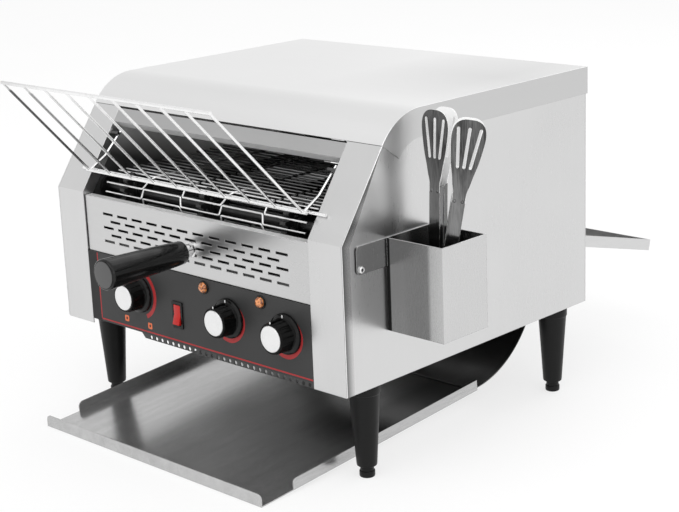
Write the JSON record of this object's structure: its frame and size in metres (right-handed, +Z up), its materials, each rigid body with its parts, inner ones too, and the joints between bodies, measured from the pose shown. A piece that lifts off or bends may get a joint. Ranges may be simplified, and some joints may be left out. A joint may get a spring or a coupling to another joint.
{
  "type": "conveyor toaster",
  "caption": "Countertop conveyor toaster with a sloped front, wire feed rack and wire belt, toast trays at front and back, turned-knob controls, a crumb drawer and a side holder with tongs.",
  "frame": {"origin": "on the table, in the middle of the whole object's outline seen from above", "axes": "+X to the right seen from the front, +Y to the back, +Z up"},
  "size_m": [0.5524, 0.7498, 0.414],
  "materials": {
    "casing_steel": "brushed stainless steel",
    "inner_steel": "plain stainless steel, a little heat-stained",
    "wire_steel": "bright drawn stainless wire",
    "tong_steel": "satin stainless steel",
    "overlay": "dark printed overlay with red lines",
    "black_plastic": "black heat-proof plastic",
    "leg_plastic": "black plastic",
    "knob_cap": "satin silver disc",
    "red_rocker": "red plastic",
    "orange_lens": "orange translucent plastic",
    "brass": "turned brass",
    "quartz": "clear fused quartz with a heating coil inside",
    "ceramic": "white ceramic",
    "dark_paint": "dark grey paint",
    "machined_steel": "machined steel",
    "chain_steel": "oiled steel"
  },
  "bodies": {
    "casing": {"left_side_panel": "casing_steel", "right_side_panel": "casing_steel", "top_cover": "casing_steel", "back_panel": "casing_steel", "base_plate": "inner_steel", "left_inner_wall": "inner_steel", "right_inner_wall": "inner_steel", "front_beam": "casing_steel", "top_reflector": "inner_steel", "return_chute": "inner_steel", "control_panel": "inner_steel", "control_overlay": "overlay", "control_box": "inner_steel", "regulators": "ceramic", "drawer_runners": "inner_steel", "rear_tray_runners": "inner_steel", "belt_rails": "inner_steel", "shaft_bushes": "brass", "heating_tubes": "quartz", "tube_end_caps": "ceramic", "gear_motor": "dark_paint", "drive_chain": "chain_steel", "conveyor_belt": "wire_steel", "switch_frame": "black_plastic", "lamp_bodies": "black_plastic", "lamp_lenses": "orange_lens", "tong_holder": "casing_steel", "fasteners": "inner_steel", "legs": "leg_plastic"},
    "belt_drive": {"drive_shaft": "machined_steel", "drive_sprockets": "machined_steel", "shaft_chain_wheel": "chain_steel"},
    "belt_idler": {"idler_shaft": "machined_steel", "idler_sprockets": "machined_steel"},
    "motor_wheel": {"motor_chain_wheel": "chain_steel"},
    "crumb_drawer": {"vent_panel": "casing_steel", "crumb_tray": "inner_steel", "handle_ferrule": "wire_steel", "handle_grip": "black_plastic"},
    "left_dial": {"left_knob": "black_plastic", "left_knob_cap": "knob_cap", "left_spindle": "brass"},
    "middle_dial": {"middle_knob": "black_plastic", "middle_knob_cap": "knob_cap", "middle_spindle": "brass"},
    "right_dial": {"right_knob": "black_plastic", "right_knob_cap": "knob_cap", "right_spindle": "brass"},
    "power_rocker": {"switch_rocker": "red_rocker"},
    "rack": {"feed_rack": "wire_steel"},
    "front_slide_tray": {"front_tray": "casing_steel"},
    "rear_slide_tray": {"rear_tray": "casing_steel"},
    "foot_front_left": {"front_left_foot": "leg_plastic"},
    "foot_front_right": {"front_right_foot": "leg_plastic"},
    "foot_rear_left": {"rear_left_foot": "leg_plastic"},
    "foot_rear_right": {"rear_right_foot": "leg_plastic"},
    "tongs_left": {"left_tongs": "tong_steel"},
    "tongs_left_swing": {"left_tongs_arm": "tong_steel"},
    "tongs_right": {"right_tongs": "tong_steel"},
    "tongs_right_swing": {"right_tongs_arm": "tong_steel"}
  },
  "joints": [
    {"name": "belt_drive_spin", "type": "hinge", "parent": "casing", "child": "belt_drive", "pos_m": [-0.04371, 0.08183, 0.266], "axis": [-1, 0, 0], "continuous": true, "deforming": ["conveyor_belt", "drive_chain"]},
    {"name": "belt_idler_spin", "type": "hinge", "parent": "casing", "child": "belt_idler", "pos_m": [-0.04371, -0.21517, 0.266], "axis": [-1, 0, 0], "continuous": true},
    {"name": "motor_wheel_spin", "type": "hinge", "parent": "casing", "child": "motor_wheel", "pos_m": [-0.25791, 0.08183, 0.178], "axis": [-1, 0, 0], "continuous": true},
    {"name": "drawer_slide", "type": "slide", "parent": "casing", "child": "crumb_drawer", "axis": [0, -1, 0], "range_m": [0, 0.27]},
    {"name": "left_dial_turn", "type": "hinge", "parent": "casing", "child": "left_dial", "pos_m": [-0.13771, -0.25467, 0.159], "axis": [0, 1, 0], "range_deg": [0, 155]},
    {"name": "middle_dial_turn", "type": "hinge", "parent": "casing", "child": "middle_dial", "pos_m": [0.01529, -0.25467, 0.159], "axis": [0, 1, 0], "range_deg": [0, 206]},
    {"name": "right_dial_turn", "type": "hinge", "parent": "casing", "child": "right_dial", "pos_m": [0.10329, -0.25467, 0.159], "axis": [0, 1, 0], "range_deg": [0, 206]},
    {"name": "rocker_tilt", "type": "hinge", "parent": "casing", "child": "power_rocker", "pos_m": [-0.07071, -0.25367, 0.146], "axis": [1, 0, 0], "range_deg": [0, 16]},
    {"name": "rack_swing", "type": "hinge", "parent": "casing", "child": "rack", "pos_m": [-0.04371, -0.24025, 0.29083], "axis": [-1, 0, 0], "range_deg": [0, 35]},
    {"name": "front_tray_slide", "type": "slide", "parent": "casing", "child": "front_slide_tray", "axis": [0, -1, 0], "range_m": [0, 0.3]},
    {"name": "rear_tray_slide", "type": "slide", "parent": "casing", "child": "rear_slide_tray", "axis": [0, 0.9686, -0.2487], "range_m": [0, 0.07]},
    {"name": "front_left_foot_screw", "type": "slide", "parent": "casing", "child": "foot_front_left", "axis": [0, 0, -1], "range_m": [0, 0.01]},
    {"name": "front_right_foot_screw", "type": "slide", "parent": "casing", "child": "foot_front_right", "axis": [0, 0, -1], "range_m": [0, 0.01]},
    {"name": "rear_left_foot_screw", "type": "slide", "parent": "casing", "child": "foot_rear_left", "axis": [0, 0, -1], "range_m": [0, 0.01]},
    {"name": "rear_right_foot_screw", "type": "slide", "parent": "casing", "child": "foot_rear_right", "axis": [0, 0, -1], "range_m": [0, 0.01]},
    {"name": "left_tongs_lift", "type": "slide", "parent": "casing", "child": "tongs_left", "axis": [0.0349, 0, 0.9994], "range_m": [0, 0.11]},
    {"name": "left_tongs_open", "type": "hinge", "parent": "tongs_left", "child": "tongs_left_swing", "pos_m": [0.21401, -0.14017, 0.17529], "axis": [-0.9994, 0, 0.0349], "range_deg": [0, 6]},
    {"name": "right_tongs_lift", "type": "slide", "parent": "casing", "child": "tongs_right", "axis": [0.129, 0.1162, 0.9848], "range_m": [0, 0.11]},
    {"name": "right_tongs_open", "type": "hinge", "parent": "tongs_right", "child": "tongs_right_swing", "pos_m": [0.23314, -0.16077, 0.17682], "axis": [0.7319, 0.659, -0.1736], "range_deg": [0, 6]}
  ],
  "couplings": [
    {"joint": "belt_idler_spin", "follows": "belt_drive_spin", "ratio": 1},
    {"joint": "motor_wheel_spin", "follows": "belt_drive_spin", "ratio": 1}
  ]
}
